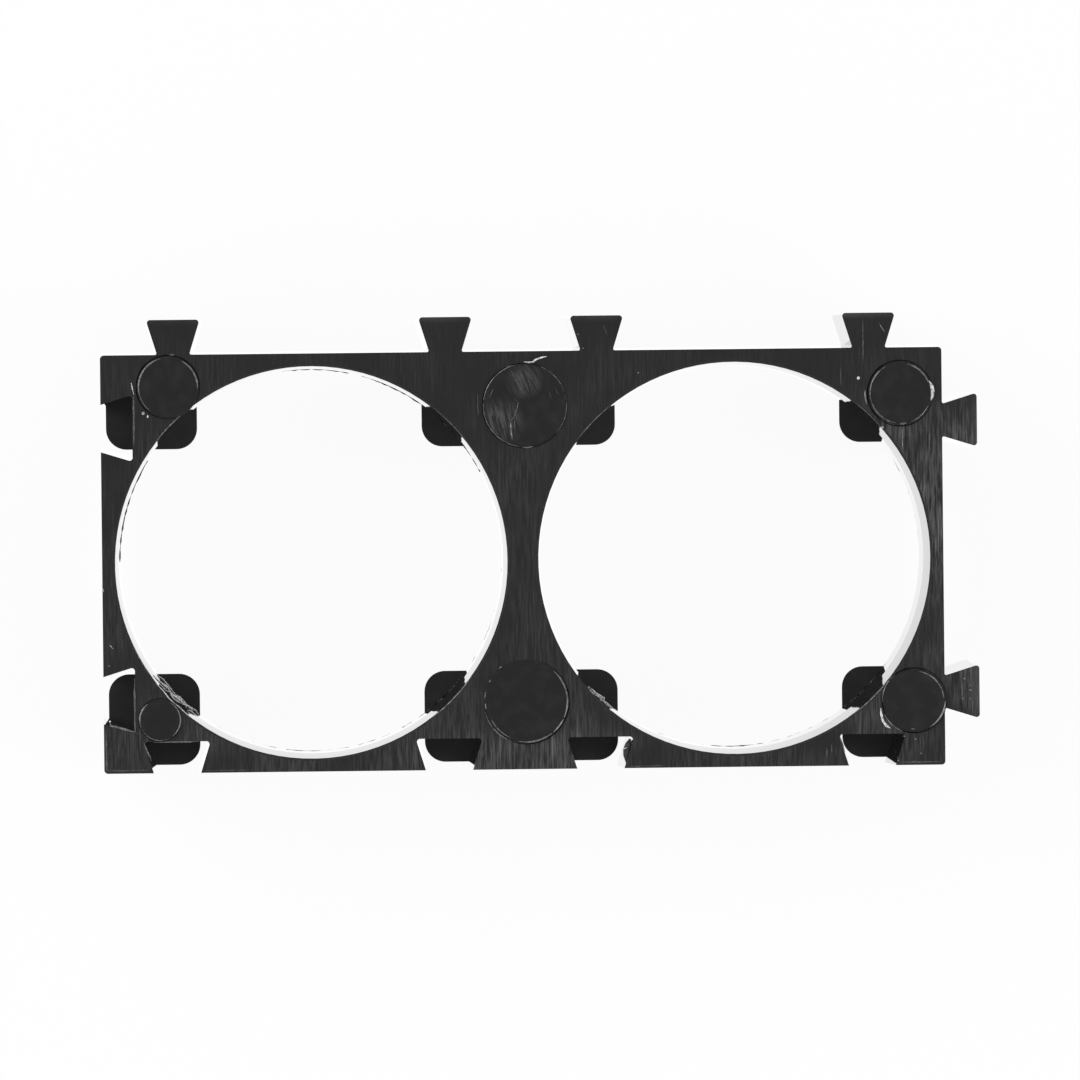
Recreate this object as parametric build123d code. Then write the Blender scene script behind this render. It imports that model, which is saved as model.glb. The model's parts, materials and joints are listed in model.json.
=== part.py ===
from build123d import *
from math import cos, radians, tan
import os

# Bracket that holds two 18650 cells side by side and clips to its neighbours to make up a pack.
# It is one shot of black ABS: a frame with two bores, dovetail tongues on two of its sides, matching
# dovetail slots on the other two, and six square stops at the back that the cells' ends seat on.
#
# The bracket lies on its stops, with the open face of the frame up. X runs from cell to cell, Y across
# them, and the tongues point along +X and +Y. The origin is at the middle of the bracket's whole
# outline, tongues included, on the surface that the stops stand on. Lengths are in millimetres.

# The two bores. Each is straight where it grips the cell, opens by a slight taper from there to its
# mouth, and has a steep lead-in at the very edge.
seat_diameter = 18.5
mouth_diameter = 18.77
seat_length = 4.0
lead_in_width = 0.1
lead_in_depth = 0.3
bore_web = 1.48              # plastic between the two mouths, under the lead-ins, on the line through their axes

# The frame. Its walls are drafted, so it is widest at the back, where it meets the stops.
frame_depth = 8.0
frame_draft = 0.75           # degrees
row_gap = 0.04               # between the backs of two brackets that are clipped together
frame_corner_radius = 0.18

# The dovetails, which slide together along Z.
dovetail_from_edge = 3.6     # centre line of a tongue or slot, from the frame's outer wall at the back
dovetail_flank = 17.3        # degrees, between a flank and the centre line
tongue_tip_width = 2.8       # at the back; the draft makes it narrower at the front
tongue_length = 1.565        # past the frame's wall at the back
flank_clearance = 0.06       # each side, at the back
tip_clearance = 0.09         # between a tongue's tip and the floor of its slot
dovetail_corner_radius = 0.15
tongue_root_radius = 0.08
dovetail_overlap = 0.5       # how far a tongue's root runs into the frame, and a slot's cut runs out of it

# The stops, on the back of the frame. Those between the cells are as long as they need to be for both.
stop_size = 4.41
stop_setback = 0.255         # from the frame's outer wall
stop_thickness = 1.5
stop_corner_radius = 1.0
stop_draft = 2.0             # degrees

# The marks of the ejector pins, which stand a little proud of the frame's front face.
mark_height = 0.15
mark_lean = 0.06             # how much smaller in radius a mark is at its top
corner_pin_diameter = 3.0
small_pin_diameter = 2.0
middle_pin_diameter = 4.0

# Sizes that follow from those above
cell_pitch = mouth_diameter + bore_web
frame_reach = (cell_pitch - row_gap) / 2                  # from a cell's axis to the frame's wall, at the back
wall_lean = frame_depth * tan(radians(frame_draft))       # how much each wall leans in over the depth
flank_lean = wall_lean / cos(radians(dovetail_flank))     # the same on a dovetail's flank, measured across it
front_height = stop_thickness + frame_depth
dovetail_offset = frame_reach - dovetail_from_edge        # from a cell's axis to a tongue's centre line
tip_reach = frame_reach + tongue_length
slot_floor_reach = cell_pitch - tip_reach - tip_clearance
slot_floor_width = tongue_tip_width + 2 * (flank_clearance + tip_clearance * tan(radians(dovetail_flank)))
stop_outer_reach = frame_reach - stop_setback
stop_inner_reach = stop_outer_reach - stop_size
half_length = cell_pitch / 2 + frame_reach
half_width = frame_reach
cell_centres = (-cell_pitch / 2, cell_pitch / 2)

# Where each pin pushed: its side of the frame in X and Y, its distance from those two walls, its size.
corner_marks = (
    (-1, 1, 3.34, 1.65, corner_pin_diameter),
    (1, 1, 2.1, 2.3, corner_pin_diameter),
    (1, -1, 1.56, 3.2, corner_pin_diameter),
    (-1, -1, 2.8, 2.65, small_pin_diameter),
)
# On the web between the cells: its side in Y, its distance from that wall, how far it is off centre.
middle_marks = (
    (1, 2.7, 0.15),
    (-1, 3.35, 0.1),
)


def rising_edges(body, height=frame_depth):
    """The edges of a body that run up most of a height, which is the frame's depth unless another is given."""
    return body.edges().filter_by(lambda edge: edge.bounding_box().size.Z > height / 2)


def drafted_block(length, width, height, draft, corner_radius, base):
    """A block with rounded corners that stands on the height base, its walls leaning in by the draft."""
    outline = Plane.XY.offset(base) * Rectangle(length, width)
    block = extrude(outline, amount=height, taper=draft)
    return fillet(rising_edges(block, height), corner_radius)


def dovetail(wide_end, wide_width, narrow_end):
    """A dovetail about the Y axis, up the frame's depth, with its wide end further along +Y than its narrow
    end. The width is given at the back; the flanks lean in by the draft, and the two ends are upright."""
    half_slope = tan(radians(dovetail_flank))
    wide_past = wide_end + wall_lean
    narrow_past = narrow_end - wall_lean
    half_wide = wide_width / 2 + wall_lean * half_slope
    half_narrow = half_wide - (wide_past - narrow_past) * half_slope
    corners = (
        (-half_wide, wide_past),
        (-half_narrow, narrow_past),
        (half_narrow, narrow_past),
        (half_wide, wide_past),
    )
    outline = Plane.XY.offset(stop_thickness) * make_face(Polyline(*corners, close=True))
    flanks = extrude(outline, amount=frame_depth, taper=frame_draft)
    bottom_up = (Align.CENTER, Align.CENTER, Align.MIN)
    span = Box(4 * half_wide, wide_end - narrow_end, frame_depth, align=bottom_up)
    body = flanks & (Pos(0, (wide_end + narrow_end) / 2, stop_thickness) * span)
    wide_corners = rising_edges(body).filter_by(lambda edge: abs(edge.center().Y - wide_end) < wall_lean)
    return fillet(wide_corners, dovetail_corner_radius)


def tongue():
    """A tongue on a wall that lies frame_reach along +Y. It is widest at the back."""
    return dovetail(tip_reach, tongue_tip_width, frame_reach - dovetail_overlap)


def slot_cut():
    """What is cut from a wall that lies frame_reach along -Y, for a neighbour's tongue. It is widest at the
    front, so it is a dovetail of that width turned front to back."""
    floor_width_front = slot_floor_width + 2 * flank_lean
    middle_height = stop_thickness + frame_depth / 2
    cut = dovetail(-slot_floor_reach, floor_width_front, -frame_reach - dovetail_overlap)
    return mirror(cut, about=Plane.XY.offset(middle_height))


def bore_cut():
    """What is cut for one cell, turned about Z: the straight seat, the taper and the lead-in, from the back up."""
    seat_radius = seat_diameter / 2
    mouth_radius = mouth_diameter / 2
    seat_top = stop_thickness + seat_length
    profile = Polyline(
        (0, stop_thickness),
        (seat_radius, stop_thickness),
        (seat_radius, seat_top),
        (mouth_radius, front_height - lead_in_depth),
        (mouth_radius + lead_in_width, front_height),
        (0, front_height),
        close=True,
    )
    return revolve(Plane.XZ * make_face(profile), axis=Axis.Z)


def stop(near, far, side):
    """One stop at the back, from near to far along X, on one side of the bracket in Y. Its walls lean in
    towards its foot."""
    plate = drafted_block(far - near, stop_size, stop_thickness, stop_draft, stop_corner_radius, 0)
    plate = mirror(plate, about=Plane.XY.offset(stop_thickness / 2))
    return Pos((near + far) / 2, side * (stop_inner_reach + stop_outer_reach) / 2, 0) * plate


def ejector_mark(x, y, diameter):
    """The low disc that an ejector pin left on the front face, its rim leaning in a little."""
    radius = diameter / 2
    disc = Cone(radius, radius - mark_lean, mark_height, align=(Align.CENTER, Align.CENTER, Align.MIN))
    return Pos(x, y, front_height) * disc


# The frame, with its tongues along +Y and +X
bracket = drafted_block(2 * half_length, 2 * half_width, frame_depth, frame_draft, frame_corner_radius, stop_thickness)
dovetail_sides = (-dovetail_offset, dovetail_offset)
for centre in cell_centres:
    for side in dovetail_sides:
        bracket += Pos(centre + side, 0, 0) * tongue()
right_cell = cell_centres[1]
for side in dovetail_sides:
    bracket += Pos(right_cell, side, 0) * Rot(0, 0, -90) * tongue()

# The inner corners at the tongues' roots: those edges lie in a wall, away from the frame's own corners.
long_side_roots = rising_edges(bracket).filter_by(
    lambda edge: abs(edge.center().Y - half_width) < wall_lean
    and abs(edge.center().X) < half_length - dovetail_overlap
)
short_side_roots = rising_edges(bracket).filter_by(
    lambda edge: abs(edge.center().X - half_length) < wall_lean
    and abs(edge.center().Y) < half_width - dovetail_overlap
)
bracket = fillet(long_side_roots + short_side_roots, tongue_root_radius)

# Bores, and slots along -Y and -X
left_cell = cell_centres[0]
for centre in cell_centres:
    bracket -= Pos(centre, 0, 0) * bore_cut()
    for side in dovetail_sides:
        bracket -= Pos(centre + side, 0, 0) * slot_cut()
for side in dovetail_sides:
    bracket -= Pos(left_cell, side, 0) * Rot(0, 0, -90) * slot_cut()

# Stops at the four corners, and the two long ones between the cells
for side in (-1, 1):
    bracket += stop(-half_length + stop_setback, left_cell - stop_inner_reach, side)
    bracket += stop(left_cell + stop_inner_reach, right_cell - stop_inner_reach, side)
    bracket += stop(right_cell + stop_inner_reach, half_length - stop_setback, side)

# Ejector marks
for side_x, side_y, from_side, from_end, diameter in corner_marks:
    bracket += ejector_mark(side_x * (half_length - from_side), side_y * (half_width - from_end), diameter)
for side_y, from_end, off_centre in middle_marks:
    bracket += ejector_mark(off_centre, side_y * (half_width - from_end), middle_pin_diameter)

# The origin goes to the middle of the whole outline: the tongues reach out on one side only of each pair.
bracket = Pos(-tongue_length / 2, -tongue_length / 2, 0) * bracket

os.makedirs("parts", exist_ok=True)
export_step(bracket, "parts/cell_bracket.step")
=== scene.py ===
import json
import math
import random

import bmesh
import bpy
from mathutils import Matrix, Vector


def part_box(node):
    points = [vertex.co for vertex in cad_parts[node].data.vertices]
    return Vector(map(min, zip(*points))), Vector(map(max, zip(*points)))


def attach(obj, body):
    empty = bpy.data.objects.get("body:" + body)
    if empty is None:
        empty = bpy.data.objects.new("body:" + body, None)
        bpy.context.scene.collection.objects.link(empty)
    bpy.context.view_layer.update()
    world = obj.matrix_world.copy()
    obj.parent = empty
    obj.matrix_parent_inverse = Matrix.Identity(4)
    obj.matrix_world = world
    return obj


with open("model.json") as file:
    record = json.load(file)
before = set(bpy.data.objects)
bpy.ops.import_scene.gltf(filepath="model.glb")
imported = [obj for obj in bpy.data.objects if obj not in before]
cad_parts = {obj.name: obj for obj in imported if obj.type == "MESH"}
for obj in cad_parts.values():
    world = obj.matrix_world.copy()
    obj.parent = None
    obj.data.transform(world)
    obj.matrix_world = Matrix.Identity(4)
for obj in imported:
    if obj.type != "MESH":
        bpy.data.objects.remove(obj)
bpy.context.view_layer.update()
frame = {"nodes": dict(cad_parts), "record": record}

# ---------------------------------------------------------------------------
# Camera. It stands well back over the open face, a little past the upper left
# bore, with a long lens, so the bores show a thin crescent of wall.
# ---------------------------------------------------------------------------
MM = 0.001
mounts = {mount["name"]: mount for mount in frame["record"]["mounts"]}
left_bore = Vector(mounts["left_cell_bore"]["pos_m"])
right_bore = Vector(mounts["right_cell_bore"]["pos_m"])
front_z = mounts["front_face"]["pos_m"][2]
between_bores = Vector(((left_bore.x + right_bore.x) / 2, left_bore.y, front_z))

camera_place = between_bores + Vector((-12.15, 8.93, 591.0)) * MM
camera_target = between_bores + Vector((0.82, 0.96, 0.0)) * MM
camera_roll = math.radians(0.6)
camera_lens_mm = 412.0
sensor_mm = 36.0

camera_data = bpy.data.cameras.new("camera")
camera_data.sensor_width = sensor_mm
camera_data.lens = camera_lens_mm
camera_data.clip_start = 0.05
camera_data.clip_end = 5.0
camera = bpy.data.objects.new("camera", camera_data)
bpy.context.collection.objects.link(camera)
backwards = (camera_place - camera_target).normalized()
up_hint = Vector((math.sin(camera_roll), math.cos(camera_roll), 0.0))
rightwards = up_hint.cross(backwards).normalized()
upwards = backwards.cross(rightwards)
turn = Matrix((rightwards, upwards, backwards)).transposed()
camera.matrix_world = Matrix.Translation(camera_place) @ turn.to_4x4()
bpy.context.scene.camera = camera
bpy.context.scene.view_settings.view_transform = "Standard"


# ---------------------------------------------------------------------------
# Room. A white sweep under the bracket, an even white surround that gets
# darker overhead, and two soft lamps, as in a small light tent.
# ---------------------------------------------------------------------------
def srgb(hex_colour):
    """The linear RGBA of an sRGB colour written as hex."""
    channels = []
    for start in (0, 2, 4):
        value = int(hex_colour[start:start + 2], 16) / 255
        channels.append(value / 12.92 if value <= 0.04045 else ((value + 0.055) / 1.055) ** 2.4)
    return (*channels, 1.0)


def add_node(tree, kind, settings=None, links=None):
    """Adds one shader node, sets its properties and inputs, and links its inputs to other nodes' outputs."""
    node = tree.nodes.new(kind)
    for name, value in (settings or {}).items():
        if isinstance(name, str) and hasattr(node, name):
            setattr(node, name, value)
        else:
            node.inputs[name].default_value = value
    for name, output in (links or {}).items():
        tree.links.new(output, node.inputs[name])
    return node


def new_material(name):
    """An empty node material and its tree."""
    material = bpy.data.materials.new(name)
    material.use_nodes = True
    material.node_tree.nodes.clear()
    return material, material.node_tree


white = srgb("ffffff")
horizon_level = 0.95
zenith_level = 0.34
fade_start, fade_end = 0.25, 0.95        # how far up a direction points where the darkening starts and ends
world = bpy.data.worlds.new("light_tent")
world.use_nodes = True
tree = world.node_tree
tree.nodes.clear()
direction = add_node(tree, "ShaderNodeTexCoord").outputs["Generated"]
height = add_node(tree, "ShaderNodeSeparateXYZ", None, {0: direction}).outputs["Z"]
level = add_node(tree, "ShaderNodeMapRange", {
    "From Min": fade_start, "From Max": fade_end,
    "To Min": horizon_level, "To Max": zenith_level}, {"Value": height})
background = add_node(tree, "ShaderNodeBackground", {"Color": white}, {"Strength": level.outputs[0]})
white_card = add_node(tree, "ShaderNodeBackground", {"Color": white, "Strength": 1.0})
ray = add_node(tree, "ShaderNodeLightPath")
seen = add_node(tree, "ShaderNodeMixShader", None, {
    0: ray.outputs["Is Camera Ray"], 1: background.outputs[0], 2: white_card.outputs[0]})
add_node(tree, "ShaderNodeOutputWorld", None, {"Surface": seen.outputs[0]})
bpy.context.scene.world = world

# The sweep is matt white acrylic, lit until it is plain white, with only a hint of shadow left on it. The
# polished walls mirror it brighter than white.
floor_half = 0.6
floor_shadow_share = 0.06
mirrored_extra = 0.22
mesh = bpy.data.meshes.new("floor")
shape = bmesh.new()
bmesh.ops.create_grid(shape, x_segments=1, y_segments=1, size=floor_half)
shape.to_mesh(mesh)
shape.free()
floor = bpy.data.objects.new("floor", mesh)
bpy.context.collection.objects.link(floor)
material, tree = new_material("white_acrylic_sweep")
matt = add_node(tree, "ShaderNodeBsdfDiffuse", {"Color": srgb("f4f4f4")})
ray = add_node(tree, "ShaderNodeLightPath")
glow = add_node(tree, "ShaderNodeMath", {"operation": "MULTIPLY_ADD", 1: mirrored_extra, 2: 1.0},
                {0: ray.outputs["Is Glossy Ray"]})
bright = add_node(tree, "ShaderNodeEmission", {"Color": white}, {"Strength": glow.outputs[0]})
looked_at = add_node(tree, "ShaderNodeMath", {"operation": "MAXIMUM"},
                     {0: ray.outputs["Is Camera Ray"], 1: ray.outputs["Is Glossy Ray"]})
share = add_node(tree, "ShaderNodeMath", {"operation": "MULTIPLY", 1: 1.0 - floor_shadow_share},
                 {0: looked_at.outputs[0]})
mixed = add_node(tree, "ShaderNodeMixShader", None, {
    0: share.outputs[0], 1: matt.outputs[0], 2: bright.outputs[0]})
add_node(tree, "ShaderNodeOutputMaterial", None, {"Surface": mixed.outputs[0]})
mesh.materials.append(material)

for name, place, size, power in (
    ("softbox_left", (-0.35, 0.15, 0.30), 0.30, 1.1),
    ("softbox_right", (0.35, -0.10, 0.35), 0.30, 0.8),
):
    lamp_data = bpy.data.lights.new(name, "AREA")
    lamp_data.shape = "SQUARE"
    lamp_data.size = size
    lamp_data.energy = power
    lamp = bpy.data.objects.new(name, lamp_data)
    lamp.location = place
    lamp.rotation_euler = (-Vector(place)).to_track_quat("-Z", "Y").to_euler()
    bpy.context.collection.objects.link(lamp)

# ---------------------------------------------------------------------------
# The bracket: one shot of black ABS. The mould's walls were polished, so the
# bores and sides are glossy; its front face was milled along Y, and the
# plastic shows those streaks; the pins' discs are plain and smooth.
# ---------------------------------------------------------------------------
bracket = frame["nodes"]["cell_bracket"]
disc_top_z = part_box("cell_bracket")[1][2]

fine_spacing, fine_length = 0.08 * MM, 1.1 * MM      # the mill's own lines are finer; these are drawn to show
long_spacing, long_length = 0.15 * MM, 3.5 * MM      # the deeper lines, which stand alone
swirl_spacing, swirl_length = 0.13 * MM, 1.0 * MM    # the rubbed lines of the scuffs on a disc
drawn_spacing, drawn_length = 0.20 * MM, 6.0 * MM    # faint lines up the walls, where the part left the mould
patch_size = 3.0 * MM                                # how far a stretch of stronger streaks runs
mottle_size = 0.7 * MM                               # the cloudy unevenness of a plain moulded face
polished_wall = 0.035                                # roughness of the walls, near a mirror
cut_edge = 0.95                                      # of the small slanted lead-ins at the bores' mouths
milled_face = 0.33                                   # of the level faces, with a soft sheen

material, tree = new_material("black_abs_moulded")
place = add_node(tree, "ShaderNodeTexCoord").outputs["Object"]
facing = add_node(tree, "ShaderNodeNewGeometry").outputs["Normal"]
along_x, along_y, height = add_node(tree, "ShaderNodeSeparateXYZ", None, {0: place}).outputs
masks = {
    "x": along_x, "y": along_y, "z": height,
    "up": add_node(tree, "ShaderNodeSeparateXYZ", None, {0: facing}).outputs["Z"],
}

# The scuffed sides of the upper middle disc: each one's place from the bracket's middle in mm.
for name, x, y in (("from_left_scuff", -1.00, 6.60), ("from_upper_scuff", 0.15, 8.60)):
    centre = Vector((between_bores.x + x * MM, between_bores.y + y * MM, disc_top_z))
    distance = add_node(tree, "ShaderNodeVectorMath", {"operation": "DISTANCE", 1: centre}, {0: place})
    masks[name] = distance.outputs["Value"]

# The patterns: each one's size along X, Y and Z, its turn in degrees, its detail and its unevenness.
for name, size, turn, detail, unevenness in (
    ("fine_lines", (fine_spacing, fine_length, fine_length), 0, 3.0, 0.6),
    ("long_lines", (long_spacing, long_length, long_length), 0, 1.0, 0.6),
    ("left_swirl", (swirl_spacing, swirl_length, swirl_length), 14, 3.0, 0.6),
    ("upper_swirl", (swirl_spacing, swirl_length, swirl_length), 27, 3.0, 0.6),
    ("drawn_lines", (drawn_spacing, drawn_spacing, drawn_length), 0, 3.0, 0.5),
    ("patches", (patch_size, patch_size, patch_size), 0, 2.0, 0.5),
    ("mottle", (mottle_size, mottle_size, mottle_size), 0, 3.0, 0.5),
):
    stretched = add_node(tree, "ShaderNodeMapping", {
        "vector_type": "TEXTURE", "Rotation": (0.0, 0.0, math.radians(turn)), "Scale": size},
        {"Vector": place})
    noise = add_node(tree, "ShaderNodeTexNoise", {"Scale": 1.0, "Detail": detail, "Roughness": unevenness},
                     {"Vector": stretched.outputs[0]})
    masks[name] = noise.outputs[0]

# The ramps: what each one reads, two limits, and its strength at each. The limits of x, y, z and distances are
# in mm, from the middle of the front face or from the scuff. The mill cut deepest down the right end and in
# the lower middle block, and least along the top; the tongues' tips get a lighter band, a painted sheen.
origin = {
    "x": between_bores.x, "y": between_bores.y, "z": front_z,
    "from_left_scuff": 0.0, "from_upper_scuff": 0.0,
}
for name, source, first, last, at_first, at_last in (
    ("level_face", "up", 0.90, 0.97, 0.0, 1.0),
    ("off_level", "up", 0.90, 0.97, 1.0, 0.0),
    ("leaning", "up", 0.08, 0.20, 0.0, 1.0),
    ("above_frame", "z", 0.03, 0.05, 0.0, 1.0),
    ("below_discs", "z", 0.03, 0.05, 1.0, 0.0),
    ("at_front", "z", -0.05, -0.02, 0.0, 1.0),
    ("down_at_stops", "z", -7.5, -6.5, 1.0, 0.0),
    ("right_edge", "x", 16.0, 18.2, 0.0, 1.0),
    ("under_upper_disc", "y", 6.2, 7.6, 1.0, 0.0),
    ("over_lower_disc", "y", -4.0, 1.0, 0.0, 1.0),
    ("lower_edge", "y", -8.8, -7.6, 0.60, 0.0),
    ("past_slot_left", "x", -3.4, -2.6, 0.0, 1.0),
    ("past_slot_right", "x", 2.6, 3.4, 1.0, 0.0),
    ("right_tongues", "x", 20.2, 20.9, 0.0, 0.60),
    ("lower_side", "y", -9.0, -3.0, 0.22, 0.0),
    ("upper_ease", "y", 2.0, 9.0, 0.42, 0.20),
    # The tips' two ramps: a lighter band along the tongues' tips, a painted sheen.
    ("upper_tips", "y", 11.35, 11.60, 0.0, 0.30),
    ("right_tips", "x", 21.35, 21.60, 0.0, 0.30),
    ("near_left_scuff", "from_left_scuff", 0.4375, 1.25, 1.0, 0.0),
    ("near_upper_scuff", "from_upper_scuff", 0.3325, 0.95, 1.0, 0.0),
    ("uneven_face", "patches", 0.30, 0.70, 0.0, 1.0),
    ("uneven_wear", "patches", 0.20, 0.50, 0.0, 1.0),
    ("uneven_tips", "patches", 0.25, 0.60, 0.0, 1.0),
    ("fine_streaks", "fine_lines", 0.40, 0.85, 0.0, 1.0),
    ("deep_streaks", "long_lines", 0.58, 0.80, 0.0, 1.0),
    ("left_scuff", "left_swirl", 0.36, 0.80, 0.0, 0.75),
    ("upper_scuff", "upper_swirl", 0.36, 0.80, 0.0, 0.75),
    ("clouds", "mottle", 0.45, 0.80, 0.0, 0.08),
    ("wall_lines", "drawn_lines", 0.45, 0.80, 0.0, 0.08),
):
    start = origin.get(source, 0.0)
    unit = MM if source in origin else 1.0
    ramp = add_node(tree, "ShaderNodeMapRange", {
        "From Min": start + first * unit, "From Max": start + last * unit,
        "To Min": at_first, "To Max": at_last}, {"Value": masks[source]})
    masks[name] = ramp.outputs[0]

# The ramps put together, a step a row: what it makes, and the two masks that it makes it of.
for name, operation, first, second in (
    ("slanted", "MULTIPLY", "leaning", "off_level"),
    ("milled", "MULTIPLY", "level_face", "at_front"),
    ("milled", "MULTIPLY", "milled", "below_discs"),
    ("stops", "MULTIPLY", "level_face", "down_at_stops"),
    ("disc_tops", "MULTIPLY", "level_face", "above_frame"),
    ("right_end", "MULTIPLY", "right_edge", "under_upper_disc"),
    ("right_end", "MULTIPLY", "right_end", "over_lower_disc"),
    ("lower_middle", "MULTIPLY", "lower_edge", "past_slot_left"),
    ("lower_middle", "MULTIPLY", "lower_middle", "past_slot_right"),
    ("worn", "MAXIMUM", "right_end", "lower_middle"),
    ("worn", "MAXIMUM", "worn", "lower_side"),
    ("worn", "MAXIMUM", "worn", "right_tongues"),
    ("worn", "MULTIPLY", "worn", "uneven_wear"),
    ("light_wear", "MULTIPLY", "uneven_face", "upper_ease"),
    ("wear", "ADD", "light_wear", "worn"),
    ("fine_streaks", "MULTIPLY", "fine_streaks", "wear"),
    ("deep_streaks", "MULTIPLY", "deep_streaks", "wear"),
    # The tips: a painted sheen, put in with the mill's streaks.
    ("tips", "MAXIMUM", "upper_tips", "right_tips"),
    ("tips", "MULTIPLY", "tips", "uneven_tips"),
    ("streaks", "MAXIMUM", "fine_streaks", "deep_streaks"),
    ("streaks", "MAXIMUM", "streaks", "tips"),
    ("streaks", "MULTIPLY", "streaks", "milled"),
    ("plain_faces", "MAXIMUM", "disc_tops", "stops"),
    ("clouds", "MULTIPLY", "clouds", "plain_faces"),
    ("left_scuff", "MULTIPLY", "left_scuff", "near_left_scuff"),
    ("upper_scuff", "MULTIPLY", "upper_scuff", "near_upper_scuff"),
    ("scuffs", "MAXIMUM", "left_scuff", "upper_scuff"),
    ("scuffs", "MULTIPLY", "scuffs", "disc_tops"),
    ("scuffs", "MAXIMUM", "scuffs", "clouds"),
    ("wall_lines", "MULTIPLY", "wall_lines", "off_level"),
    ("scuffs", "MAXIMUM", "scuffs", "wall_lines"),
    ("marks", "MAXIMUM", "streaks", "scuffs"),
):
    step = add_node(tree, "ShaderNodeMath", {"operation": operation}, {0: masks[first], 1: masks[second]})
    masks[name] = step.outputs[0]

# Deep black where the mould was polished, a shade lighter on the stops and the milled face, and grey in the
# streaks and scuffs, where roughened ABS scatters the light, and on the tongues' tips, where the grey is a
# painted sheen.
shades = add_node(tree, "ShaderNodeMix", {
    "data_type": "RGBA", 6: srgb("0a0a0a"), 7: srgb("1a1a1b")}, {0: masks["stops"]})
shades = add_node(tree, "ShaderNodeMix", {
    "data_type": "RGBA", 7: srgb("101011")}, {0: masks["milled"], 6: shades.outputs[2]})
shades = add_node(tree, "ShaderNodeMix", {
    "data_type": "RGBA", 7: srgb("646465")}, {0: masks["marks"], 6: shades.outputs[2]})
dullness = add_node(tree, "ShaderNodeMapRange", {
    "To Min": polished_wall, "To Max": milled_face}, {"Value": masks["level_face"]})
dullness = add_node(tree, "ShaderNodeMix", {
    "data_type": "FLOAT", 3: cut_edge}, {0: masks["slanted"], 2: dullness.outputs[0]})
black = add_node(tree, "ShaderNodeBsdfPrincipled", {"IOR": 1.54}, {
    "Base Color": shades.outputs[2], "Roughness": dullness.outputs[0]})
add_node(tree, "ShaderNodeOutputMaterial", None, {"Surface": black.outputs[0]})
bracket.data.materials.clear()
bracket.data.materials.append(material)

# ---------------------------------------------------------------------------
# Burrs round the ejector discs. Each pin left a fine raised edge, in arcs,
# where plastic ran into the gap round it; bent over, it is drawn mid-grey as a painted highlight, its glint.
# ---------------------------------------------------------------------------
random.seed(18650)
left_axis = Vector((left_bore.x, left_bore.y, 0.0))
right_axis = Vector((right_bore.x, right_bore.y, 0.0))
middle_axis = Vector((between_bores.x, between_bores.y, 0.0))


def abs_finish(name, darker, lighter, roughness):
    """ABS in two shades, in uneven patches, as it goes where it is scored or torn, or paler as a painted glint
    on bent edges.
    """
    two_shade_patch = 0.15 * MM
    finish, tree = new_material(name)
    place = add_node(tree, "ShaderNodeTexCoord").outputs["Object"]
    grain = add_node(tree, "ShaderNodeTexNoise", {"Scale": 1 / two_shade_patch, "Detail": 2.0}, {"Vector": place})
    spread = add_node(tree, "ShaderNodeMapRange", {"From Min": 0.32, "From Max": 0.62},
                      {"Value": grain.outputs[0]})
    greys = add_node(tree, "ShaderNodeMix", {"data_type": "RGBA", 6: srgb(darker), 7: srgb(lighter)},
                     {0: spread.outputs[0]})
    shader = add_node(tree, "ShaderNodeBsdfPrincipled", {"IOR": 1.54, "Roughness": roughness},
                      {"Base Color": greys.outputs[2]})
    add_node(tree, "ShaderNodeOutputMaterial", None, {"Surface": shader.outputs[0]})
    return finish


# Rubbed ABS: thin edges bent over and polished by handling; their mid-grey is a painted highlight, the glint
# along them.
rubbed_glint_abs = abs_finish("black_abs_rubbed_painted_glint", "303030", "747474", 0.30)


def on_face(x, y, height=0.0):
    """A point on the milled face, in mm from the bracket's middle, and a height in mm over the face."""
    return middle_axis + Vector((x * MM, y * MM, front_z + height * MM))


def place_on_bracket(name, shape, finish):
    """Makes an object of a bmesh, with a material, and lets it ride with the bracket."""
    bmesh.ops.recalc_face_normals(shape, faces=shape.faces)
    mesh = bpy.data.meshes.new(name)
    shape.to_mesh(mesh)
    shape.free()
    mesh.materials.append(finish)
    piece = bpy.data.objects.new(name, mesh)
    bpy.context.collection.objects.link(piece)
    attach(piece, "root")


def add_bead(shape, points, thickness, unevenness=0.15):
    """Adds a thin bead along a few points, uneven by a share of its thickness, and thinner at its ends."""
    sides = 6
    end_share, swell = 0.25, 3           # its thickness at its ends, and how fast it swells to its full one
    rings = []
    for index, point in enumerate(points):
        before = points[max(index - 1, 0)]
        after = points[min(index + 1, len(points) - 1)]
        heading = (after - before).to_track_quat("Z", "Y").to_matrix().to_4x4()
        from_end = min(index, len(points) - 1 - index) / (len(points) - 1)
        taper = min(1.0, end_share + swell * from_end)
        girth = thickness / 2 * taper * random.uniform(1 - unevenness, 1 + unevenness)
        ring = bmesh.ops.create_circle(shape, segments=sides, radius=girth,
                                       matrix=Matrix.Translation(point) @ heading)
        rings.append(ring["verts"])
    for first, second in zip(rings, rings[1:]):
        edges = {edge for vert in first + second for edge in vert.link_edges
                 if edge.other_vert(vert) in (first if vert in first else second)}
        bmesh.ops.bridge_loops(shape, edges=list(edges))
    for ring in (rings[0], rings[-1]):
        bmesh.ops.contextual_create(shape, geom=ring)


def arc_points(centre, radius, start, end, height):
    """Points along an arc about a vertical axis, from one angle in degrees to another."""
    spacing = 0.20 * MM
    rough_radian = 57                    # near enough the degrees in a radian, for a count
    count = max(4, int(abs(end - start) * radius / spacing / rough_radian) + 1)
    turns = [math.radians(start + (end - start) * step / (count - 1)) for step in range(count)]
    return [Vector((centre.x + radius * math.cos(turn), centre.y + radius * math.sin(turn), height))
            for turn in turns]


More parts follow.
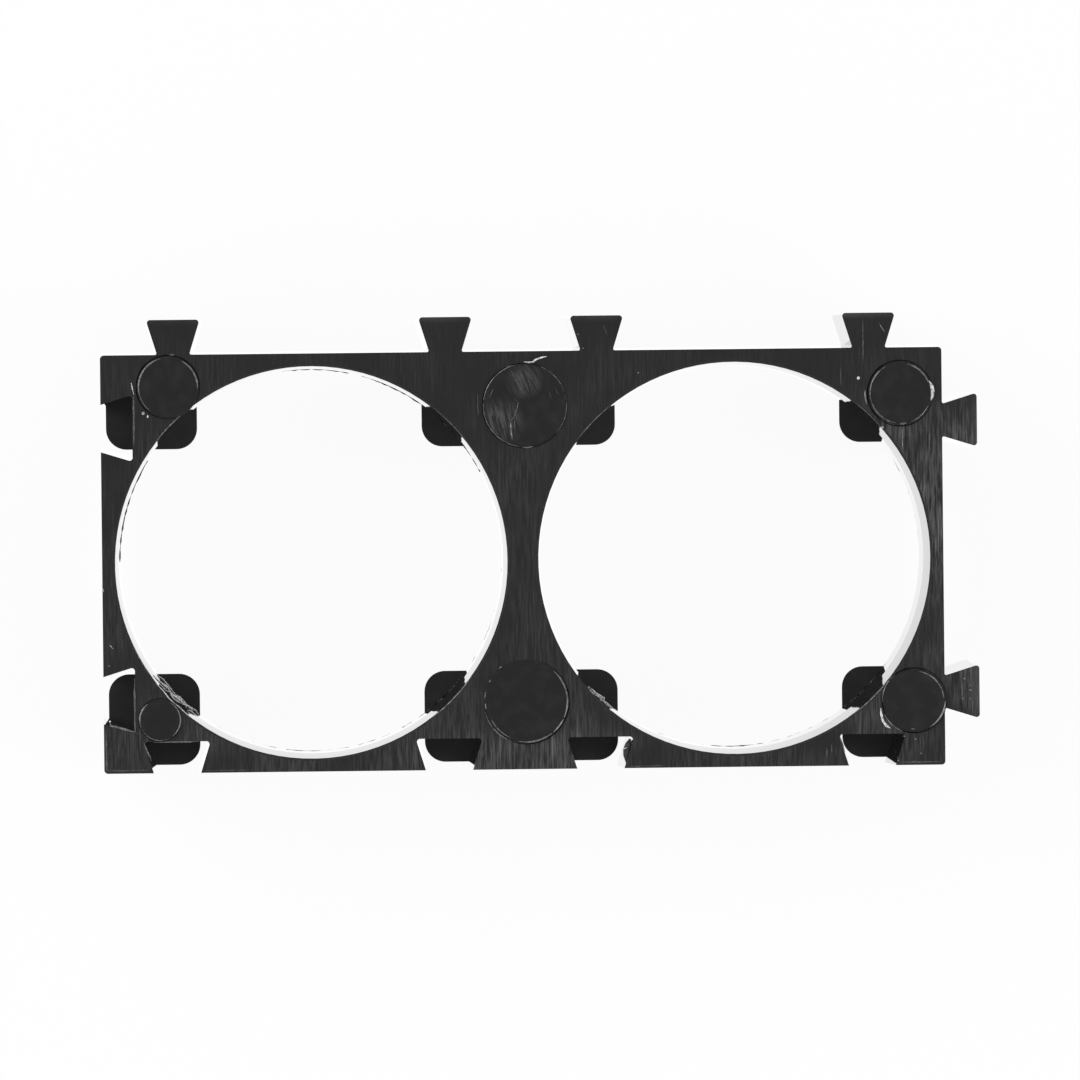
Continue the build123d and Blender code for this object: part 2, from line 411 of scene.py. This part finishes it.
def line_points(corners, step=0.25, wander=0.0):
    """Points a step apart along straight runs between corners, strayed by up to a wander, both in mm."""
    points = [corners[0]]
    for first, second in zip(corners, corners[1:]):
        count = max(1, round((second - first).length / (step * MM)))
        for index in range(1, count + 1):
            stray = Vector((random.uniform(-wander, wander), random.uniform(-wander, wander), 0.0)) * MM
            points.append(first.lerp(second, index / count) + stray)
    return points


# Each disc: its place from the bracket's middle and its radius in mm, and the arcs of its burr, each with
# its start and end in degrees, its distance inside the rim and its thickness in mm.
disc_burrs = {
    "upper_left": (-16.89, 8.455, 1.5, (
        (-4, 62, 0.09, 0.085), (104, 196, 0.09, 0.085), (78, 88, -0.05, 0.11), (196, 232, 0.09, 0.04))),
    "upper_right": (18.13, 7.805, 1.5, (
        (20, 76, 0.06, 0.09), (118, 192, 0.05, 0.06), (192, 262, 0.06, 0.06), (268, 281, 0.04, 0.11),
        (290, 335, 0.04, 0.05), (174, 199, -0.18, 0.09))),
    "lower_right": (18.67, -6.905, 1.5, (
        (4, 80, 0.10, 0.075), (-60, -2, 0.03, 0.095), (204, 248, -0.08, 0.08), (126, 182, -0.03, 0.06),
        (262, 270, 0.12, 0.10))),
    "lower_left": (-17.43, -7.455, 1.0, (
        (128, 200, 0.02, 0.085), (-52, 58, 0.03, 0.065), (205, 300, 0.02, 0.035))),
    "upper_middle": (0.15, 7.405, 2.0, (
        (18, 68, 0.0, 0.06), (-42, 14, 0.0, 0.04), (100, 172, 0.02, 0.045), (176, 262, 0.02, 0.04),
        (266, 282, 0.0, 0.09), (108, 116, 0.0, 0.06))),
    "lower_middle": (0.10, -6.755, 2.0, (
        (-24, 48, 0.05, 0.09), (-50, -26, 0.05, 0.07), (-102, -52, 0.06, 0.085), (194, 250, -0.04, 0.07),
        (205, 245, 0.10, 0.05), (124, 130, -0.04, 0.10), (148, 153, 0.0, 0.09), (166, 178, 0.0, 0.06),
        (182, 190, 0.02, 0.07))),
}
half_sunk = 0.02 * MM                # how high over the face the middle of a burr outside a rim lies
for name, (x, y, radius, arcs) in disc_burrs.items():
    shape = bmesh.new()
    for start, end, inside, thickness in arcs:
        level = disc_top_z if inside > 0 else front_z + half_sunk
        add_bead(shape, arc_points(on_face(x, y), (radius - inside) * MM, start, end, level), thickness * MM)
    place_on_bracket("disc_burr_glint_" + name, shape, rubbed_glint_abs)

# The narrow gap that each pin left round its disc is drawn as a thin dark ring: painted shade, the shadow down
# in
# the gap. It has no shine at any angle: hence the low IOR and the full roughness. The upper left disc runs
# into the bore's mouth, so its gap is open there.
gap_shade_grain = 0.1 * MM
gap_shade, tree = new_material("painted_shade_in_gap")
place = add_node(tree, "ShaderNodeTexCoord").outputs["Object"]
speckle = add_node(tree, "ShaderNodeTexNoise", {"Scale": 1 / gap_shade_grain}, {"Vector": place}).outputs[0]
greys = add_node(tree, "ShaderNodeMix", {
    "data_type": "RGBA", 6: srgb("030303"), 7: srgb("101010")}, {0: speckle})
dull = add_node(tree, "ShaderNodeBsdfPrincipled", {"IOR": 1.15, "Roughness": 1.0}, {
    "Base Color": greys.outputs[2]})
add_node(tree, "ShaderNodeOutputMaterial", None, {"Surface": dull.outputs[0]})
# Each gap: its place and radius in mm, its start and end in degrees, and its width in mm.
pin_gap_shade = (
    (-16.89, 8.455, 1.52, -28, 285, 0.065), (18.13, 7.805, 1.575, 0, 360, 0.06),
    (18.67, -6.905, 1.555, 0, 360, 0.06), (-17.43, -7.455, 1.04, 0, 360, 0.03),
    (0.15, 7.405, 2.03, 0, 360, 0.035), (0.10, -6.755, 2.04, -170, 70, 0.045),
)
shape = bmesh.new()
for x, y, radius, start, end, thickness in pin_gap_shade:
    add_bead(shape, arc_points(on_face(x, y), radius * MM, start, end, front_z), thickness * MM, 0.3)
place_on_bracket("pin_gap_shade", shape, gap_shade)

# ---------------------------------------------------------------------------
# Burrs along cut edges. The mill turned a fine lip up where it left the face,
# along slot floors, slot flanks, the outer blocks and parts of the bores' mouths. Their paler grey is a
# painted highlight.
# ---------------------------------------------------------------------------
# Each lip: its thickness, and its corners from the bracket's middle, all in mm.
edge_lips = (
    (0.10, (-19.83, -7.50), (-19.80, -7.70), (-19.35, -7.82), (-18.62, -8.02)),
    (0.07, (-18.22, -8.53), (-17.87, -9.40)),
    (0.07, (-17.75, -8.52), (-15.60, -8.50)),
    (0.07, (15.09, -8.60), (15.32, -9.35)),
    (0.06, (17.84, -9.60), (17.86, -9.86)),
)
faint_edge_lips = (
    (0.085, (-18.53, 8.15), (-18.54, 5.65)),
    (0.085, (-18.64, -5.45), (-18.64, -8.00), (-18.42, -8.17)),
    (0.07, (-20.03, -7.85), (-20.01, -9.80), (-19.90, -9.86), (-17.85, -9.84)),
    (0.09, (17.90, -9.86), (19.90, -9.86)),
    (0.06, (4.95, -9.92), (6.60, -9.90)),
    (0.05, (-15.40, -9.90), (-13.20, -9.90)),
)
lip_unevenness = 0.35
lip_wander = 0.01
# Scratched ABS: freshly scored, so it is only a little paler than the skin, and half dull.
scratched_abs = abs_finish("black_abs_scratched", "1c1c1c", "4a4a4a", 0.45)
shape = bmesh.new()
# On these faint lips the paler grey is a faint painted highlight along the edges.
for thickness, *corners in faint_edge_lips:
    points = line_points([on_face(x, y) for x, y in corners], wander=lip_wander)
    add_bead(shape, points, thickness * MM, lip_unevenness)
place_on_bracket("faint_edge_burrs_painted_glint", shape, scratched_abs)
shape = bmesh.new()
for thickness, *corners in edge_lips:
    points = line_points([on_face(x, y) for x, y in corners], wander=lip_wander)
    add_bead(shape, points, thickness * MM, lip_unevenness)
# Each mouth lip: its bore, its start and end in degrees, and its thickness in mm.
mouth_radius = 9.41 * MM
mouth_lip_z = front_z - 0.02 * MM
mouth_lips = (
    (left_axis, 126, 142, 0.05), (left_axis, -53, -36, 0.055), (right_axis, -53, -37, 0.055),
    (left_axis, 204, 214, 0.03), (right_axis, 128, 142, 0.03), (right_axis, 38, 52, 0.03),
    (left_axis, 38, 50, 0.03),
)
for axis, start, end, thickness in mouth_lips:
    add_bead(shape, arc_points(axis, mouth_radius, start, end, mouth_lip_z), thickness * MM, lip_unevenness)
place_on_bracket("edge_burrs_painted_glint", shape, rubbed_glint_abs)

# ---------------------------------------------------------------------------
# Scratches on the upper middle disc, in two sheaves that swing round its left
# side, and a few short ones on the face. Each is a fine raised thread of ABS.
# ---------------------------------------------------------------------------
# Each scratch: its thickness, and its corners from the bracket's middle, all in mm.
disc_height = 0.15                   # how far a disc stands over the face, in mm
scratch_step = 0.15
scratch_wander = 0.012
scratch_unevenness = 0.4
shape = bmesh.new()
scratches = (
    (0.05, (-0.49, 9.10), (-0.18, 8.49), (0.10, 7.91)),
    (0.03, (-0.10, 9.15), (0.14, 8.50), (0.42, 7.95)),
    (0.03, (0.12, 9.10), (0.34, 8.60), (0.55, 7.85)),
    (0.025, (0.30, 9.05), (0.55, 8.65), (0.80, 8.10)),
    (0.045, (-0.36, 7.74), (-0.14, 7.54), (-0.30, 7.00), (-0.52, 6.62)),
    (0.03, (-0.36, 6.80), (-0.33, 6.30)),
    (0.03, (-1.02, 6.97), (-0.90, 6.40), (-0.72, 5.80)),
    (0.03, (-1.47, 7.36), (-1.46, 6.85), (-1.33, 6.30)),
    (0.025, (-1.20, 7.40), (-1.17, 6.70), (-0.98, 6.00)),
    (0.025, (-0.85, 7.20), (-0.78, 6.60), (-0.66, 6.05)),
    (0.025, (-1.35, 8.20), (-1.52, 7.80)),
    (0.025, (1.62, 8.25), (1.80, 7.85)),
    (0.025, (1.30, 8.10), (1.42, 7.70)),
)
for thickness, *corners in scratches:
    points = line_points([on_face(x, y, disc_height) for x, y in corners], scratch_step, scratch_wander)
    add_bead(shape, points, thickness * MM, scratch_unevenness)
face_scratches = (
    (0.04, (16.38, 11.40), (16.37, 9.30)),
    (0.03, (15.30, 9.20), (15.29, 8.20)),
    (0.05, (19.52, 5.90), (19.51, 4.90)),
    (0.04, (18.95, 6.04), (19.27, 5.99)),
    (0.035, (-2.10, 8.00), (-2.07, 6.95)),
    (0.045, (20.96, -6.12), (20.95, -7.03)),
    (0.045, (14.45, -9.12), (14.45, -9.72)),
    (0.035, (14.68, -8.94), (14.68, -9.45)),
    (0.04, (3.98, 11.20), (4.12, 10.72)),
)
face_scratch_step = 0.2
for thickness, *corners in face_scratches:
    points = line_points([on_face(x, y) for x, y in corners], face_scratch_step, scratch_wander)
    add_bead(shape, points, thickness * MM, scratch_unevenness)
place_on_bracket("scratches", shape, scratched_abs)
# The few deep ones are drawn paler, a painted glint along them; their corners have a height too.
glinting_deep_scratches = (
    (0.07, (-0.52, 6.60, disc_height), (-0.51, 6.20, disc_height), (-0.46, 5.80, disc_height)),
    (0.05, (-0.34, 7.74, disc_height), (-0.16, 7.55, disc_height)),
    (0.05, (17.16, 11.16, 0.0), (17.43, 10.71, 0.0)),
    (0.045, (18.23, 6.10, 0.0), (18.22, 5.10, 0.0)),
)
deep_wander = 0.01
deep_unevenness = 0.3
shape = bmesh.new()
for thickness, *corners in glinting_deep_scratches:
    points = line_points([on_face(*corner) for corner in corners], face_scratch_step, deep_wander)
    add_bead(shape, points, thickness * MM, deep_unevenness)
place_on_bracket("glinting_deep_scratches", shape, rubbed_glint_abs)

# ---------------------------------------------------------------------------
# Chips and torn bits on the face: plastic torn loose by the mill or a pin,
# pale right through where it was stretched. Most are grains; the largest is a
# flake on the right of the upper right disc, and a crescent by the lower one.
# ---------------------------------------------------------------------------
# Stress-whitened ABS: stretched till it is full of tiny voids that scatter the light, so it is grey to white.
torn_abs = abs_finish("black_abs_stress_whitened", "747474", "f0f0f0", 0.35)
torn_unevenness = 0.2
shape = bmesh.new()
# Each flake: its thickness, and its corners from the bracket's middle, all in mm.
flakes = (
    (0.23, (19.50, 8.38), (19.60, 8.15), (19.66, 7.88), (19.64, 7.62), (19.58, 7.45)),
    (0.13, (17.05, -7.28), (17.07, -7.55), (17.15, -7.88), (17.32, -8.12), (17.50, -8.22)),
    (0.09, (-18.64, 8.68), (-18.61, 8.50), (-18.52, 8.12)),
    (0.09, (-19.79, -3.86), (-19.64, -4.03)),
    (0.08, (-20.18, -0.96), (-20.06, -1.30)),
)
for thickness, *corners in flakes:
    add_bead(shape, [on_face(x, y) for x, y in corners], thickness * MM, torn_unevenness)
# Each grain: its place from the bracket's middle and its size, in mm.
grains = (
    (16.14, 8.55, 0.08), (17.27, 6.17, 0.06), (-18.09, 7.22, 0.08), (-17.87, 7.06, 0.065),
    (-19.83, -7.50, 0.05),
)
# These grains are mid-grey, partly a painted glint.
rubbed_grains = (
    (5.60, 8.91, 0.05), (2.74, 10.78, 0.05), (2.98, 10.11, 0.045), (21.08, -5.90, 0.06),
    (21.35, -6.22, 0.05), (21.35, -6.44, 0.05), (21.34, -6.85, 0.055), (21.02, -6.85, 0.045),
    (18.70, -8.76, 0.05), (18.96, -9.44, 0.05), (18.16, -8.62, 0.045), (17.88, -9.78, 0.05),
    (-19.85, -4.84, 0.06),
)


def add_grains(shape, places):
    """Adds flat grains to a bmesh, each turned its own way and narrower one way than the other."""
    flatness = 0.35
    for x, y, size in places:
        turn = Matrix.Rotation(random.uniform(0, math.pi), 4, "Z")
        squat = Matrix.Diagonal((1.0, random.uniform(0.6, 1.0), flatness, 1.0))
        bmesh.ops.create_icosphere(shape, subdivisions=2, radius=size * MM,
                                   matrix=Matrix.Translation(on_face(x, y)) @ turn @ squat)


add_grains(shape, grains)
place_on_bracket("torn_bits", shape, torn_abs)
shape = bmesh.new()
add_grains(shape, rubbed_grains)
place_on_bracket("rubbed_grains", shape, rubbed_glint_abs)

# The curl was torn up off the upper middle disc's rim: it starts on the face and rises as it goes right.
curl_thickness = 0.085 * MM
curl = [on_face(0.12, 9.49, 0.02), on_face(0.36, 9.46, 0.04), on_face(0.55, 9.47, 0.16),
        on_face(0.72, 9.60, 0.24), on_face(0.95, 9.68, 0.32), on_face(1.24, 9.74, 0.38)]
shape = bmesh.new()
add_bead(shape, curl, curl_thickness, torn_unevenness)
place_on_bracket("torn_curl", shape, torn_abs)

# ---------------------------------------------------------------------------
# Flash in the bores: plastic that ran past the mould's core. Down low it is a
# fine broken fin round the back edge, drawn paler on two stops as painted light against the shade there; on
# two walls it is torn into white ragged threads that bow off the wall.
# ---------------------------------------------------------------------------
# Each fin: its bore, its finish, and its arcs, each with its start and end in degrees and its reach in mm.
fins = (
    ("fin_left_bore", left_axis, scratched_abs, (
        (-78, -66, 0.02), (-62, -54, 0.03), (-35, 24, 0.01), (27, 50, 0.04), (53, 74, 0.05), (78, 98, 0.05),
        (148, 180, 0.05), (236, 262, 0.012), (262, 273, 0.03), (274, 281, 0.015))),
    ("fin_right_bore", right_axis, scratched_abs, (
        (-36, 30, 0.012), (246, 262, 0.015), (264, 280, 0.03), (282, 306, 0.015))),
    ("fin_on_left_stop", left_axis, rubbed_glint_abs, ((-53, -38, 0.06),)),
    ("fin_on_right_stop", right_axis, rubbed_glint_abs, ((-53, -37, 0.07),)),
)
fin_radius = 9.26 * MM               # just inside the wall
fin_z = 1.52 * MM                    # just over the stops
fin_thickness = 0.02 * MM
for name, axis, finish, arcs in fins:
    shape = bmesh.new()
    for start, end, reach in arcs:
        outer = [shape.verts.new(point) for point in arc_points(axis, fin_radius, start, end, fin_z)]
        edges = [shape.edges.new(pair) for pair in zip(outer, outer[1:])]
        grown = bmesh.ops.extrude_edge_only(shape, edges=edges)
        for vert in [part for part in grown["geom"] if isinstance(part, bmesh.types.BMVert)]:
            inward = (axis - vert.co).xy.normalized() * reach * MM * random.uniform(0.3, 1.3)
            vert.co += Vector((inward.x, inward.y, random.uniform(-0.02, 0.04) * MM))
    bmesh.ops.solidify(shape, geom=shape.faces[:], thickness=fin_thickness)
    place_on_bracket(name, shape, finish)

# Each torn thread: its angles at both ends, its heights there over the stand, how far its middle bows off
# the wall, and its thickness, in degrees and mm.
torn_threads = {
    "torn_flash_left_bore": (left_axis, (
        (215.0, 234.5, 9.42, 9.42, -0.03, 0.055), (215.0, 223.5, 7.8, 5.2, 0.02, 0.07),
        (215.5, 224.0, 3.4, 1.9, 0.04, 0.06), (218.0, 226.0, 5.5, 3.0, 0.04, 0.045),
        (222.5, 229.0, 6.5, 4.2, 0.04, 0.13), (223.0, 229.0, 3.4, 2.4, 0.08, 0.11),
        (224.5, 227.0, 5.0, 4.6, 0.10, 0.14), (227.5, 231.5, 5.2, 2.2, 0.05, 0.10),
        (229.0, 233.6, 3.2, 2.2, 0.06, 0.08), (229.5, 233.0, 6.8, 5.6, 0.02, 0.05))),
    "torn_flash_right_bore": (right_axis, (
        (221.0, 226.0, 7.6, 6.8, 0.0, 0.07), (223.5, 228.0, 6.5, 5.0, 0.03, 0.08),
        (226.0, 231.8, 6.8, 6.0, 0.01, 0.075), (226.5, 227.8, 5.8, 5.2, 0.06, 0.08))),
}
seat_wall_radius = 9.24 * MM
seat_top = 5.5                       # the height in mm at which the bore starts to widen to its mouth
lead_out_per_mm = 0.135 / 4          # how much it widens a side for each mm up
thread_unevenness = 0.4
for name, (axis, threads) in torn_threads.items():
    shape = bmesh.new()
    for start, end, first_height, last_height, stand_off, thickness in threads:
        points = arc_points(axis, seat_wall_radius, start, end, 0.0)
        for index, point in enumerate(points):
            share = index / (len(points) - 1)
            outward = Vector((point.x - axis.x, point.y - axis.y, 0.0)).normalized()
            height = first_height + (last_height - first_height) * share
            off_wall = (stand_off + random.uniform(-0.02, 0.05)) * math.sin(math.pi * share)
            point += outward * (lead_out_per_mm * max(0.0, height - seat_top) - off_wall) * MM
            point.z = height * MM
        add_bead(shape, points, thickness * MM, thread_unevenness)
    place_on_bracket(name, shape, torn_abs)

# ---------------------------------------------------------------------------
# Scrap in a slot: a dark smear of plastic dragged along the right flank of the
# third slot from the left, with one pale torn point.
# ---------------------------------------------------------------------------
# Smeared ABS: warm plastic wiped along the flank, as black as the skin, but dull.
smeared_abs = abs_finish("black_abs_smeared", "060606", "161616", 0.60)
scrap_thickness = 0.33 * MM
scrap_unevenness = 0.1
scrap_height = -0.15
scrap = [on_face(x, y, scrap_height) for x, y in (
    (5.04, -8.60), (4.94, -8.85), (4.84, -9.10), (4.84, -9.40), (4.87, -9.80))]
shape = bmesh.new()
add_bead(shape, scrap, scrap_thickness, scrap_unevenness)
place_on_bracket("slot_scrap", shape, smeared_abs)
point_thickness = 0.06 * MM
torn_point = [on_face(4.62, -9.09, 0.02), on_face(4.72, -9.07, 0.03), on_face(4.86, -9.03, 0.03)]
shape = bmesh.new()
add_bead(shape, torn_point, point_thickness)
place_on_bracket("slot_scrap_point", shape, torn_abs)
